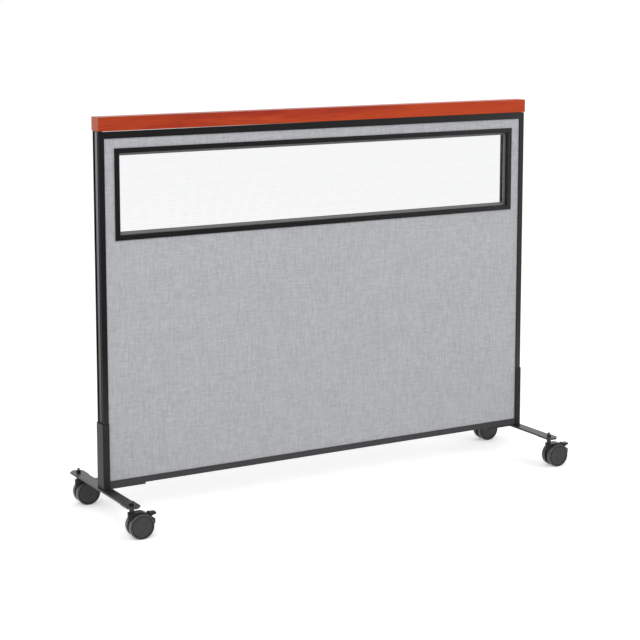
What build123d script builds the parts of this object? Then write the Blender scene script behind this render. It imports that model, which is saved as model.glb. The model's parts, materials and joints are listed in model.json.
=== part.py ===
from build123d import *
import os
from math import acos, atan2, cos, degrees, hypot, radians, sin

# Partition wall on casters: a framed, fabric-covered panel with a glazed window, a wood cap and
# two T-shaped feet. Sizes are in millimetres. X runs along the wall, Y runs through it with the
# front at -Y, and Z is up. The origin is on the floor under the middle of the panel.

# ---- Frame of hollow extrusions ----
PANEL_WIDTH = 1530.35        # over both stiles
PANEL_THICKNESS = 44.45      # over the frame's front and rear faces
FLOOR_GAP = 107.2            # floor to the underside of the frame
FRAME_HEIGHT = 1060.6        # length of a stile
STILE_FACE = 17.4            # width of a stile seen from the front
TOP_RAIL_FACE = 20.4         # height of the top rail
BOTTOM_RAIL_FACE = 17.3      # height of the bottom rail
EXTRUSION_WALL = 1.8
EXTRUSION_RADIUS = 1.5       # outer corners of a stile
CHANNEL_WIDTH = 32.0         # open channel along a stile's end face
CHANNEL_DEPTH = 7.0
CHANNEL_FLOOR = 2.6          # metal behind the channel
TONGUE_THICKNESS = 3.2       # tongue that enters the core board
TONGUE_DEPTH = 8.0
PORT_SPACING = 23.8          # between the two screw ports of a rail
PORT_DIAMETER = 3.9
PORT_BOSS = 8.6              # outer diameter of a screw port
RAIL_RIB = 10.0              # solid rib in the middle of a rail
STRIP_WIDTH = 15.5           # head of the rail that lies in the end channel
STRIP_HEAD = 1.8
STRIP_NECK = 8.0
STRIP_SETBACK = 1.1          # strip head below the stile's end face

# ---- Filling of the frame ----
CORE_THICKNESS = 9.0
GROOVE_CLEARANCE = 0.15      # round the tongue, on each side
BOARD_RECESS = 4.0           # fabric surface behind the frame face
FABRIC_THICKNESS = 0.8
FABRIC_WRAP = 6.0            # depth of the turned edge
FIELD_CLEARANCE = 0.2        # turned fabric to frame

# ---- Window ----
WINDOW_MARGIN = 32.3         # stile to window frame
WINDOW_HEIGHT = 271.6
WINDOW_DROP = 29.8           # top rail to window frame
WINDOW_FACE = 14.3           # face width of a bar
WINDOW_PROUD = 0.5           # bar face in front of the frame face
WINDOW_WALL = 2.1
FLANGE_SHEET = 2.2
FLANGE_LIP = 2.0
FLANGE_CHAMFER = 0.7
CUTOUT_CLEARANCE = 0.5       # boards to window bars
BEAD_WIDTH = 8.4
BEAD_THICKNESS = 4.0
BEAD_EDGE = 2.4              # thickness at the inner edge of the bead
PANE_THICKNESS = 6.0
PANE_SKIN = 0.5
PANE_RIB = 0.5
PANE_PITCH = 6.0             # between the ribs
PANE_CLEARANCE = 1.0         # pane edge to window bar

# ---- Cap ----
CAP_HEIGHT = 41.3
CAP_OVERHANG = 2.0           # beyond the frame on all four sides
CAP_CHAMFER = 0.8
GROOVE_END = 12.0            # solid cap past each end of the groove
CARRIER_BASE = 1.2
CARRIER_LIP = 0.3            # carrier edge in front of the frame face
CARRIER_WIDTH = 30.0         # over the two upright walls
CARRIER_WALL = 1.6
CARRIER_HEIGHT = 15.9        # base and walls
CARRIER_CLEARANCE = 0.15     # cap groove round the carrier
CARRIER_SCREWS = 5

# ---- Feet ----
FOOT_INSET = 8.175           # panel's end to the middle of the cross bar
FOOT_LENGTH = 450.0
FOOT_BAR = 37.0              # width of the cross bar
FOOT_PLATE = 5.5             # thickness of the cross bar, and of the arm on top of it
FOOT_PAD = 43.0              # width of the widened ends
FOOT_PAD_LENGTH = 64.0
FOOT_CLIP = 13.0             # clipped outer corners of the pads
FOOT_STEP = 3.0              # clipped inner corners of the pads
FOOT_EDGE = 0.6              # broken upper edge
ARM_LENGTH = 134.0           # from the panel's end to the tip of the arm
ARM_WIDTH = 44.0
FOOT_SCREW_OFFSETS = (55.0, 115.0)   # from the panel's end
SLEEVE_HEIGHT = 199.0        # above the cross bar
SLEEVE_SHEET = 3.0

# ---- Casters ----
STEM_INSET = 28.5            # tip of a foot to its stem
CASTER_HEADING = -2.5        # resting direction of the trailing side, degrees from +X
WHEEL_RADIUS = 37.5
WHEEL_WIDTH = 16.5
WHEEL_SPACING = 12.5         # between the two wheels
WHEEL_DISC = 3.5
WHEEL_RIM = 5.5
WHEEL_HUB = 9.5              # radius
WHEEL_BEVEL = 2.2            # outer edge
TREAD_CHAMFER = 1.2          # inner edge
WHEEL_GROOVE_RADIUS = 30.0   # ring groove in the outer disc
WHEEL_GROOVE_WIDTH = 1.6
WHEEL_GROOVE_DEPTH = 0.9
WHEEL_RIBS = 6
WHEEL_RIB = 2.0
WHEEL_RIB_SETBACK = 3.0      # rib edge inside the rim
WHEEL_RIB_ROOT = 0.4         # rib ends inside hub and rim
CASTER_TRAIL = 25.0          # stem axis to axle
AXLE_RADIUS = 4.0
HOOD_TOP = 79.0
HOOD_WIDTH = 30.0
HOOD_SHEET = 2.2
HOOD_CLEARANCE = 1.5         # hood to tread
HOOD_NOSE = 12.0             # radius of the hood round the stem
HOOD_REAR_ANGLE = 5.0        # lower end of the hood's rear wall, degrees above the axle
HOOD_REAR_REACH = 42.5       # axle to the outside of the rear wall
HOOD_REAR_HEIGHT = 18.0      # axle to the top of the rear wall
HOOD_EDGE = 1.2              # rounding along the curved top
HOOD_SHOULDER_ANGLE = 36.0   # where the shoulder over the rear wall meets the curved top
HOOD_FRONT_ANGLE = 155.0     # leading end of the hood's inside
WEB_THICKNESS = 10.5
WEB_HUB = 20.0               # radius of the web round the axle
STEM_RADIUS = 4.0
STEM_DEPTH = 28.0            # bearing length in the hood
STEM_COLLAR = 7.0            # radius
COLLAR_CLEARANCE = 0.3       # collar to hood
STEM_ABOVE_FOOT = 12.5
STEM_CHAMFER = 0.8
RUNNING_CLEARANCE = 0.06     # radial, for shafts that turn
THREAD_CLEARANCE = 0.05      # radial, for screws and threads
HOLE_CLEARANCE = 0.2         # radial, for plain holes round screws and stems
AXLE_END_PLAY = 0.15         # axle end to the inside of a wheel's disc
NUT_ACROSS_FLATS = 13.0
NUT_HEIGHT = 6.5

# ---- Brake lever ----
PIVOT_ANGLE = 45.0           # seen from the axle, degrees above the trailing direction
PIVOT_REACH = 44.0           # axle to brake pivot
PIVOT_PIN = 1.5              # radius
EAR_RADIUS = 4.6
EAR_THICKNESS = 3.6
LEVER_BARREL = 4.4           # radius
LEVER_BARREL_WIDTH = 20.0
LEVER_GAP = 0.4              # barrel end to ear
LEVER_REACH = 18.5           # pivot to tip
LEVER_RISE = 6.0             # degrees above level at rest
LEVER_WIDTH = 20.0
LEVER_TIP = 5.6              # thickness at the tip
LEVER_CORNER = 5.0           # rounding of the tip in plan
SHOE_REACH = 5.5             # pivot to the middle of a shoe's tip
SHOE_RADIUS = 1.8
SHOE_WIDTH = 6.0
SHOE_ANGLE = 55.0            # shoe from the line to the axle, degrees, at rest
POCKET_CLEARANCE = 0.5       # hood pocket round the shoes' path

# ---- Screws ----
FRAME_SCREW_HEAD = 4.1       # radius
FRAME_SCREW_BITE = 25.0      # length in the rail
CARRIER_SCREW_RADIUS = 2.0
CARRIER_SCREW_HEAD = 4.0
CARRIER_SCREW_HEAD_HEIGHT = 2.4
CARRIER_SCREW_BITE = 12.0
FOOT_SCREW_RADIUS = 2.5
FOOT_SCREW_HEAD = 5.25
FOOT_SCREW_HEAD_HEIGHT = 2.8
FOOT_SCREW_BITE = 11.0

# ---- Places that follow from the sizes above ----
HALF_WIDTH = PANEL_WIDTH / 2
HALF_THICKNESS = PANEL_THICKNESS / 2
FRAME_TOP = FLOOR_GAP + FRAME_HEIGHT
FIELD_BOTTOM = FLOOR_GAP + BOTTOM_RAIL_FACE
FIELD_TOP = FRAME_TOP - TOP_RAIL_FACE
FIELD_WIDTH = PANEL_WIDTH - 2 * STILE_FACE
FIELD_HEIGHT = FIELD_TOP - FIELD_BOTTOM
FIELD_Z = (FIELD_TOP + FIELD_BOTTOM) / 2
FABRIC_FACE = HALF_THICKNESS - BOARD_RECESS
BOARD_FACE = FABRIC_FACE - FABRIC_THICKNESS
WINDOW_WIDTH = FIELD_WIDTH - 2 * WINDOW_MARGIN
WINDOW_Z = FIELD_TOP - WINDOW_DROP - WINDOW_HEIGHT / 2
WINDOW_FRONT = HALF_THICKNESS + WINDOW_PROUD
CUTOUT_INSET = WINDOW_FACE - WINDOW_WALL - CUTOUT_CLEARANCE
CAP_BOTTOM = FRAME_TOP + CARRIER_BASE
CARRIER_LENGTH = PANEL_WIDTH - 2 * GROOVE_END
FOOT_X = HALF_WIDTH - FOOT_INSET
FOOT_TOP = FLOOR_GAP - FOOT_PLATE
FOOT_BOTTOM = FOOT_TOP - FOOT_PLATE
FOOT_END_Y = FOOT_LENGTH / 2
STEM_Y = FOOT_END_Y - STEM_INSET
AXLE = Vector(CASTER_TRAIL, 0, WHEEL_RADIUS)
HOOD_INSIDE = WHEEL_RADIUS + HOOD_CLEARANCE
HOOD_OUTSIDE = HOOD_INSIDE + HOOD_SHEET
WHEEL_OUTSIDE = WHEEL_SPACING / 2 + WHEEL_WIDTH

LEFT, RIGHT = -1, 1
FRONT, REAR = -1, 1
SIDES = {"left": LEFT, "right": RIGHT}
FACES = {"front": FRONT, "rear": REAR}


def save(piece, label):
    """Label a finished piece and write its STEP file."""
    piece.part.label = label
    export_step(piece.part, f"parts/{label}.step")


def save_copy(piece, label, location):
    """Write a copy of a piece that was built once and is used in several places."""
    placed = piece.part.moved(location)
    placed.label = label
    export_step(placed, f"parts/{label}.step")


def face_plane(face, depth):
    """Plane parallel to the panel's face, `depth` from its middle, looking outwards."""
    return Plane(origin=(0, face * depth, FIELD_Z), x_dir=(-face, 0, 0), z_dir=(0, face, 0))


# ======== Frame ========


def stile(side):
    """Upright extrusion with an open channel in its end face and a tongue on its inner face."""
    back_of_floor = CHANNEL_DEPTH + CHANNEL_FLOOR
    chamber = STILE_FACE - EXTRUSION_WALL - back_of_floor
    pocket = back_of_floor - EXTRUSION_WALL
    pocket_width = HALF_THICKNESS - CHANNEL_WIDTH / 2 - 2 * EXTRUSION_WALL
    pocket_middle = (HALF_THICKNESS + CHANNEL_WIDTH / 2) / 2
    base = Plane(origin=(side * HALF_WIDTH, 0, FLOOR_GAP), x_dir=(-side, 0, 0))
    with BuildPart() as post:
        with BuildSketch(base):
            with Locations((STILE_FACE / 2, 0)):
                Rectangle(STILE_FACE, PANEL_THICKNESS)
            fillet(vertices().group_by(Axis.X)[0], EXTRUSION_RADIUS)
            with Locations((CHANNEL_DEPTH / 2, 0)):
                Rectangle(CHANNEL_DEPTH, CHANNEL_WIDTH, mode=Mode.SUBTRACT)
            with Locations((back_of_floor + chamber / 2, 0)):
                Rectangle(chamber, PANEL_THICKNESS - 2 * EXTRUSION_WALL, mode=Mode.SUBTRACT)
            with Locations((EXTRUSION_WALL + pocket / 2, 0)):
                with GridLocations(0, 2 * pocket_middle, 1, 2):
                    Rectangle(pocket, pocket_width, mode=Mode.SUBTRACT)
        extrude(amount=FRAME_HEIGHT)
        with BuildSketch(base.offset(BOTTOM_RAIL_FACE)):
            with Locations((STILE_FACE + TONGUE_DEPTH / 2, 0)):
                Rectangle(TONGUE_DEPTH, TONGUE_THICKNESS)
        extrude(amount=FIELD_HEIGHT)
        with Locations(*frame_screw_seats(side)):
            CounterSinkHole(
                radius=PORT_DIAMETER / 2,
                counter_sink_radius=FRAME_SCREW_HEAD,
                depth=STILE_FACE - CHANNEL_DEPTH,
                counter_sink_angle=90,
            )
    return post


def frame_screw_seats(side):
    """Where the frame screws sit in a stile's channel floor, looking out of the channel."""
    seats = []
    for rail_z in (FLOOR_GAP + BOTTOM_RAIL_FACE / 2, FRAME_TOP - TOP_RAIL_FACE / 2):
        for port_y in (-PORT_SPACING / 2, PORT_SPACING / 2):
            seat = (side * (HALF_WIDTH - CHANNEL_DEPTH), port_y, rail_z)
            seats.append(Plane(origin=seat, x_dir=(0, 1, 0), z_dir=(side, 0, 0)).location)
    return seats


def rail(face_height, middle_z, tongue_up):
    """Horizontal extrusion with two screw ports, a solid rib and a tongue above or below."""
    start = Plane(origin=(-FIELD_WIDTH / 2, 0, middle_z), x_dir=(0, 1, 0), z_dir=(1, 0, 0))
    tongue_middle = tongue_up * (face_height + TONGUE_DEPTH) / 2
    with BuildPart() as bar:
        with BuildSketch(start):
            Rectangle(PANEL_THICKNESS, face_height)
            Rectangle(
                PANEL_THICKNESS - 2 * EXTRUSION_WALL,
                face_height - 2 * EXTRUSION_WALL,
                mode=Mode.SUBTRACT,
            )
            Rectangle(RAIL_RIB, face_height)
            with GridLocations(PORT_SPACING, 0, 2, 1):
                Rectangle(EXTRUSION_WALL, face_height)
                Circle(PORT_BOSS / 2)
                Circle(PORT_DIAMETER / 2, mode=Mode.SUBTRACT)
        extrude(amount=FIELD_WIDTH)
        with BuildSketch(start.offset(TONGUE_DEPTH)):
            with Locations((0, tongue_middle)):
                Rectangle(TONGUE_THICKNESS, TONGUE_DEPTH)
        extrude(amount=FIELD_WIDTH - 2 * TONGUE_DEPTH)
    return bar


def top_rail():
    """Top rail, drilled from above for the carrier screws."""
    bar = rail(TOP_RAIL_FACE, FRAME_TOP - TOP_RAIL_FACE / 2, -1)
    with BuildPart() as drilled:
        add(bar.part)
        with Locations(Plane.XY.offset(FRAME_TOP)):
            with GridLocations(CARRIER_LENGTH / CARRIER_SCREWS, 0, CARRIER_SCREWS, 1):
                Hole(CARRIER_SCREW_RADIUS + THREAD_CLEARANCE, depth=CARRIER_SCREW_BITE)
    return drilled


def bottom_rail():
    """Bottom rail, drilled from below for the foot screws."""
    bar = rail(BOTTOM_RAIL_FACE, FLOOR_GAP + BOTTOM_RAIL_FACE / 2, 1)
    underside = Plane(origin=(0, 0, FLOOR_GAP), z_dir=(0, 0, -1))
    with BuildPart() as drilled:
        add(bar.part)
        with Locations(underside):
            with Locations(*foot_screw_points()):
                Hole(FOOT_SCREW_RADIUS + THREAD_CLEARANCE, depth=FOOT_SCREW_BITE)
    return drilled


def foot_screw_points(sides=(LEFT, RIGHT)):
    """Foot screws in plan."""
    return [(side * (HALF_WIDTH - offset), 0) for side in sides for offset in FOOT_SCREW_OFFSETS]


def end_strip(side):
    """T-shaped rail that lies on the floor of an end channel."""
    height = CHANNEL_DEPTH - STRIP_SETBACK
    base = Plane(
        origin=(side * (HALF_WIDTH - CHANNEL_DEPTH), 0, FLOOR_GAP), x_dir=(side, 0, 0)
    )
    with BuildPart() as strip:
        with BuildSketch(base):
            with Locations((height / 2, 0)):
                Rectangle(height, STRIP_NECK)
            with Locations((height - STRIP_HEAD / 2, 0)):
                Rectangle(STRIP_HEAD, STRIP_WIDTH)
        extrude(amount=FRAME_HEIGHT)
    return strip


def frame_screws():
    """Countersunk screws from the end channels into the rails' screw ports."""
    radius = PORT_DIAMETER / 2 - THREAD_CLEARANCE
    taper = FRAME_SCREW_HEAD - radius
    length = STILE_FACE - CHANNEL_DEPTH + FRAME_SCREW_BITE
    with BuildPart() as screws:
        with Locations(*frame_screw_seats(LEFT), *frame_screw_seats(RIGHT)):
            Cone(radius, FRAME_SCREW_HEAD, taper, align=(Align.CENTER, Align.CENTER, Align.MAX))
            Cylinder(radius, length, align=(Align.CENTER, Align.CENTER, Align.MAX))
    return screws


# ======== Filling ========


def window_cutout():
    """Cut the window's opening in the sketch that is being drawn."""
    with Locations((0, WINDOW_Z - FIELD_Z)):
        Rectangle(
            WINDOW_WIDTH - 2 * CUTOUT_INSET,
            WINDOW_HEIGHT - 2 * CUTOUT_INSET,
            mode=Mode.SUBTRACT,
        )


def core_board():
    """Rigid septum, grooved on its outer edges for the frame's tongue."""
    groove_depth = TONGUE_DEPTH + GROOVE_CLEARANCE
    groove_width = TONGUE_THICKNESS + 2 * GROOVE_CLEARANCE
    with BuildPart() as board:
        with BuildSketch(face_plane(REAR, -CORE_THICKNESS / 2)):
            Rectangle(FIELD_WIDTH, FIELD_HEIGHT)
            window_cutout()
        extrude(amount=CORE_THICKNESS)
        with BuildSketch(face_plane(REAR, -groove_width / 2)):
            Rectangle(FIELD_WIDTH, FIELD_HEIGHT)
            Rectangle(
                FIELD_WIDTH - 2 * groove_depth,
                FIELD_HEIGHT - 2 * groove_depth,
                mode=Mode.SUBTRACT,
            )
        extrude(amount=groove_width, mode=Mode.SUBTRACT)
    return board


def tack_board(face):
    """Soft board between the core and the fabric."""
    gap = FIELD_CLEARANCE + FABRIC_THICKNESS
    with BuildPart() as board:
        with BuildSketch(face_plane(face, CORE_THICKNESS / 2)):
            Rectangle(FIELD_WIDTH - 2 * gap, FIELD_HEIGHT - 2 * gap)
            window_cutout()
        extrude(amount=BOARD_FACE - CORE_THICKNESS / 2)
    return board


def fabric(face):
    """Fabric over a tack board, with its outer edges turned back round the board."""
    width = FIELD_WIDTH - 2 * FIELD_CLEARANCE
    height = FIELD_HEIGHT - 2 * FIELD_CLEARANCE
    with BuildPart() as cloth:
        with BuildSketch(face_plane(face, BOARD_FACE)):
            Rectangle(width, height)
            window_cutout()
        extrude(amount=FABRIC_THICKNESS)
        with BuildSketch(face_plane(face, BOARD_FACE)):
            Rectangle(width, height)
            Rectangle(
                width - 2 * FABRIC_THICKNESS, height - 2 * FABRIC_THICKNESS, mode=Mode.SUBTRACT
            )
        extrude(amount=-FABRIC_WRAP)
    return cloth


# ======== Window ========

INWARD = {
    "bottom": Vector(0, 0, 1),
    "right": Vector(-1, 0, 0),
    "top": Vector(0, 0, -1),
    "left": Vector(1, 0, 0),
}


def mitred_bar(face, inward, profile):
    """Bar along one side of the window, cut at 45 degrees at both ends.

    The profile's first axis runs inwards from the window's outer edge and its second runs
    outwards from the middle of the panel.
    """
    outward = Vector(0, face, 0)
    along = inward.cross(outward)
    upright = abs(inward.Z) < 0.5
    length = WINDOW_HEIGHT if upright else WINDOW_WIDTH
    across = WINDOW_WIDTH if upright else WINDOW_HEIGHT
    start = Vector(0, 0, WINDOW_Z) - inward * (across / 2) - along * (length / 2)
    end = start + along * length
    with BuildPart() as bar:
        with BuildSketch(Plane(origin=start, x_dir=inward, z_dir=along)):
            with BuildLine():
                Polyline(*profile, close=True)
            make_face()
        extrude(amount=length)
        split(bisect_by=Plane(origin=start, x_dir=outward, z_dir=along - inward), keep=Keep.TOP)
        split(bisect_by=Plane(origin=end, x_dir=outward, z_dir=-along - inward), keep=Keep.TOP)
    return bar


def window_bar(face, inward):
    """Bar with a flange over the fabric and a wall through the panel to its middle."""
    under_flange = WINDOW_FRONT - FLANGE_SHEET
    wall_start = WINDOW_FACE - WINDOW_WALL
    edge = FLANGE_CHAMFER
    profile = [
        (0, FABRIC_FACE),
        (FLANGE_LIP, FABRIC_FACE),
        (FLANGE_LIP, under_flange),
        (wall_start, under_flange),
        (wall_start, 0),
        (WINDOW_FACE, 0),
        (WINDOW_FACE, WINDOW_FRONT - edge),
        (WINDOW_FACE - edge, WINDOW_FRONT),
        (edge, WINDOW_FRONT),
        (0, WINDOW_FRONT - edge),
    ]
    return mitred_bar(face, inward, profile)


def glazing_bead(face):
    """Continuous bead between the window bars and the pane."""
    seat = PANE_THICKNESS / 2
    profile = [
        (WINDOW_FACE, seat),
        (WINDOW_FACE + BEAD_WIDTH, seat),
        (WINDOW_FACE + BEAD_WIDTH, seat + BEAD_EDGE),
        (WINDOW_FACE, seat + BEAD_THICKNESS),
    ]
    bars = [mitred_bar(face, inward, profile) for inward in INWARD.values()]
    with BuildPart() as bead:
        for bar in bars:
            add(bar.part)
    return bead


def window_pane():
    """Twin-wall sheet: two skins joined by ribs that run along the window."""
    inset = WINDOW_FACE + PANE_CLEARANCE
    width = WINDOW_WIDTH - 2 * inset
    height = WINDOW_HEIGHT - 2 * inset
    cells = int((height - PANE_RIB) / PANE_PITCH)
    pitch = (height - PANE_RIB) / cells
    start = Plane(origin=(-width / 2, 0, WINDOW_Z), x_dir=(0, 1, 0), z_dir=(1, 0, 0))
    with BuildPart() as pane:
        with BuildSketch(start):
            Rectangle(PANE_THICKNESS, height)
            with GridLocations(0, pitch, 1, cells):
                Rectangle(PANE_THICKNESS - 2 * PANE_SKIN, pitch - PANE_RIB, mode=Mode.SUBTRACT)
        extrude(amount=width)
    return pane


# ======== Cap ========


def cap_carrier():
    """Channel on top of the frame that the cap is pushed over."""
    start = Plane(
        origin=(-CARRIER_LENGTH / 2, 0, FRAME_TOP), x_dir=(0, 1, 0), z_dir=(1, 0, 0)
    )
    with BuildPart() as carrier:
        with BuildSketch(start):
            with Locations((0, CARRIER_BASE / 2)):
                Rectangle(PANEL_THICKNESS + 2 * CARRIER_LIP, CARRIER_BASE)
            with Locations((0, CARRIER_HEIGHT / 2)):
                with GridLocations(CARRIER_WIDTH - CARRIER_WALL, 0, 2, 1):
                    Rectangle(CARRIER_WALL, CARRIER_HEIGHT)
        extrude(amount=CARRIER_LENGTH)
        with Locations(Plane.XY.offset(FRAME_TOP + CARRIER_BASE)):
            with GridLocations(CARRIER_LENGTH / CARRIER_SCREWS, 0, CARRIER_SCREWS, 1):
                Hole(CARRIER_SCREW_RADIUS + HOLE_CLEARANCE, depth=CARRIER_BASE)
    return carrier


def carrier_screws():
    """Pan-head screws through the carrier into the top rail."""
    with BuildPart() as screws:
        with Locations(Plane.XY.offset(FRAME_TOP + CARRIER_BASE)):
            with GridLocations(CARRIER_LENGTH / CARRIER_SCREWS, 0, CARRIER_SCREWS, 1):
                Cylinder(
                    CARRIER_SCREW_HEAD,
                    CARRIER_SCREW_HEAD_HEIGHT,
                    align=(Align.CENTER, Align.CENTER, Align.MIN),
                )
                Cylinder(
                    CARRIER_SCREW_RADIUS,
                    CARRIER_BASE + CARRIER_SCREW_BITE,
                    align=(Align.CENTER, Align.CENTER, Align.MAX),
                )
    return screws


def wood_cap():
    """Laminated block, grooved underneath for the carrier, with solid ends."""
    groove_height = CARRIER_HEIGHT - CARRIER_BASE + CARRIER_CLEARANCE
    with BuildPart() as cap:
        with BuildSketch(Plane.XY.offset(CAP_BOTTOM)):
            Rectangle(PANEL_WIDTH + 2 * CAP_OVERHANG, PANEL_THICKNESS + 2 * CAP_OVERHANG)
        extrude(amount=CAP_HEIGHT)
        chamfer(edges(), CAP_CHAMFER)
        with BuildSketch(Plane.XY.offset(CAP_BOTTOM)):
            Rectangle(
                CARRIER_LENGTH + 2 * CARRIER_CLEARANCE, CARRIER_WIDTH + 2 * CARRIER_CLEARANCE
            )
        extrude(amount=groove_height, mode=Mode.SUBTRACT)
    return cap


# ======== Feet ========


def leg_sleeve(side):
    """Bent sheet that wraps the lower end of the panel and stands on the foot."""
    wrap = STILE_FACE + SLEEVE_SHEET
    outside = PANEL_THICKNESS + 2 * SLEEVE_SHEET
    base = Plane(
        origin=(side * (HALF_WIDTH + SLEEVE_SHEET), 0, FOOT_TOP), x_dir=(-side, 0, 0)
    )
    with BuildPart() as sleeve:
        with BuildSketch(base):
            with Locations((wrap / 2, 0)):
                Rectangle(wrap, outside)
            fillet(vertices().group_by(Axis.X)[0], EXTRUSION_RADIUS + SLEEVE_SHEET)
        extrude(amount=SLEEVE_HEIGHT)
        with BuildSketch(base):
            with Locations((SLEEVE_SHEET + STILE_FACE / 2, 0)):
                Rectangle(STILE_FACE, PANEL_THICKNESS)
            fillet(vertices().group_by(Axis.X)[0], EXTRUSION_RADIUS)
        extrude(amount=SLEEVE_HEIGHT, mode=Mode.SUBTRACT)
    return sleeve


def foot(side):
    """Cross bar with widened ends, and an arm welded on top of it that carries the panel."""
    arm_reach = ARM_LENGTH - EXTRUSION_RADIUS
    arm_middle = HALF_WIDTH - EXTRUSION_RADIUS - arm_reach / 2
    pad_y = FOOT_END_Y - FOOT_PAD_LENGTH / 2
    base = Plane(origin=(side * FOOT_X, 0, FOOT_BOTTOM), x_dir=(-side, 0, 0))
    with BuildPart() as plate:
        with BuildSketch(base):
            with GridLocations(0, 2 * pad_y, 1, 2):
                Rectangle(FOOT_PAD, FOOT_PAD_LENGTH)
            chamfer(vertices().sort_by(lambda corner: abs(corner.Y))[:4], FOOT_STEP)
            chamfer(vertices().sort_by(lambda corner: abs(corner.Y))[-4:], FOOT_CLIP)
            Rectangle(FOOT_BAR, FOOT_LENGTH - FOOT_PAD_LENGTH)
        extrude(amount=FOOT_PLATE)
        chamfer(faces().sort_by(Axis.Z)[-1].outer_wire().edges(), FOOT_EDGE)
        with BuildSketch(Plane.XY.offset(FOOT_TOP)):
            with Locations((side * arm_middle, 0)):
                Rectangle(arm_reach, ARM_WIDTH)
        extrude(amount=FOOT_PLATE)
        with Locations(base):
            with Locations((0, -STEM_Y), (0, STEM_Y)):
                Hole(STEM_RADIUS + HOLE_CLEARANCE)
        with Locations(Plane.XY.offset(FLOOR_GAP)):
            with Locations(*foot_screw_points([side])):
                Hole(FOOT_SCREW_RADIUS + HOLE_CLEARANCE)
    return plate


def foot_screws():
    """Button-head screws up through the arms into the bottom rail."""
    with BuildPart() as screws:
        with Locations(Plane.XY.offset(FOOT_TOP)):
            with Locations(*foot_screw_points()):
                Cylinder(
                    FOOT_SCREW_HEAD,
                    FOOT_SCREW_HEAD_HEIGHT,
                    align=(Align.CENTER, Align.CENTER, Align.MAX),
                )
                Cylinder(
                    FOOT_SCREW_RADIUS,
                    FOOT_PLATE + FOOT_SCREW_BITE,
                    align=(Align.CENTER, Align.CENTER, Align.MIN),
                )
    return screws


# ======== Casters, built round their own stem axis with the trailing side towards +X ========


def polar(centre, radius, angle):
    """Point at `radius` and `angle` (degrees) from `centre` in a sketch of the side view."""
    return (centre[0] + radius * cos(radians(angle)), centre[1] + radius * sin(radians(angle)))


AXLE_2D = (CASTER_TRAIL, WHEEL_RADIUS)
PIVOT_2D = polar(AXLE_2D, PIVOT_REACH, PIVOT_ANGLE)
PIVOT = Vector(PIVOT_2D[0], 0, PIVOT_2D[1])
SHOE_PATH = SHOE_REACH + SHOE_RADIUS + POCKET_CLEARANCE


def caster_hood():
    """Moulded body: curved hood over the wheels, web between them, and ears for the brake."""
    corner = (HOOD_NOSE, HOOD_TOP)
    to_corner = (corner[0] - AXLE_2D[0], corner[1] - AXLE_2D[1])
    corner_angle = degrees(atan2(to_corner[1], to_corner[0]))
    tangent_angle = corner_angle - degrees(acos(HOOD_OUTSIDE / hypot(*to_corner)))
    front_low = polar(AXLE_2D, HOOD_INSIDE, HOOD_FRONT_ANGLE)
    hood_back = CASTER_TRAIL + HOOD_REAR_REACH
    rear_low = polar(AXLE_2D, HOOD_INSIDE, HOOD_REAR_ANGLE)
    rear_top = (hood_back, WHEEL_RADIUS + HOOD_REAR_HEIGHT)
    shoulder = polar(AXLE_2D, HOOD_OUTSIDE, HOOD_SHOULDER_ANGLE)
    with BuildPart() as hood:
        with BuildSketch(Plane.XZ):
            with BuildLine():
                Line(polar(AXLE_2D, HOOD_OUTSIDE, tangent_angle), corner)
                Line(corner, (-HOOD_NOSE, HOOD_TOP))
                Line((-HOOD_NOSE, HOOD_TOP), (-HOOD_NOSE, front_low[1]))
                Line((-HOOD_NOSE, front_low[1]), front_low)
                CenterArc(
                    AXLE_2D, HOOD_INSIDE, HOOD_REAR_ANGLE, HOOD_FRONT_ANGLE - HOOD_REAR_ANGLE
                )
                Polyline(rear_low, (hood_back, rear_low[1]), rear_top, shoulder)
                CenterArc(
                    AXLE_2D,
                    HOOD_OUTSIDE,
                    HOOD_SHOULDER_ANGLE,
                    tangent_angle - HOOD_SHOULDER_ANGLE,
                )
            make_face()
        extrude(amount=HOOD_WIDTH / 2, both=True)
        with BuildSketch(Plane.XY):
            Circle(HOOD_NOSE)
            with Locations(((CASTER_TRAIL + hood_back) / 2, 0)):
                Rectangle(HOOD_REAR_REACH, HOOD_WIDTH)
            make_hull()
        extrude(amount=HOOD_TOP, mode=Mode.INTERSECT)
        top_edges = edges().filter_by_position(Axis.Z, WHEEL_RADIUS + HOOD_REAR_HEIGHT, HOOD_TOP)
        curved = [e for e in top_edges.filter_by(GeomType.CIRCLE) if abs(e.radius - HOOD_OUTSIDE) < 0.1]
        fillet(curved, HOOD_EDGE)
        with BuildSketch(Plane.XZ):
            with BuildLine():
                CenterArc(
                    AXLE_2D,
                    HOOD_INSIDE + HOOD_SHEET / 2,
                    HOOD_REAR_ANGLE,
                    HOOD_FRONT_ANGLE - HOOD_REAR_ANGLE,
                )
                CenterArc(AXLE_2D, WEB_HUB, 0, 360)
            make_hull()
        extrude(amount=WEB_THICKNESS / 2, both=True)
        with BuildSketch(Plane.XZ.offset(LEVER_BARREL_WIDTH / 2 + LEVER_GAP)):
            with Locations(PIVOT_2D):
                Circle(EAR_RADIUS)
        ear = extrude(amount=EAR_THICKNESS)
        mirror(ear, about=Plane.XZ)
        with BuildSketch(Plane.XZ):
            with Locations(PIVOT_2D):
                Circle(SHOE_PATH)
        extrude(amount=LEVER_BARREL_WIDTH / 2 + LEVER_GAP, both=True, mode=Mode.SUBTRACT)
        with BuildSketch(Plane.XZ):
            with Locations(PIVOT_2D):
                Circle(PIVOT_PIN + RUNNING_CLEARANCE)
            with Locations(AXLE_2D):
                Circle(AXLE_RADIUS + THREAD_CLEARANCE)
        extrude(amount=HOOD_WIDTH / 2, both=True, mode=Mode.SUBTRACT)
        with Locations(Plane.XY.offset(HOOD_TOP)):
            Hole(STEM_RADIUS + RUNNING_CLEARANCE, depth=STEM_DEPTH)
    return hood


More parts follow.
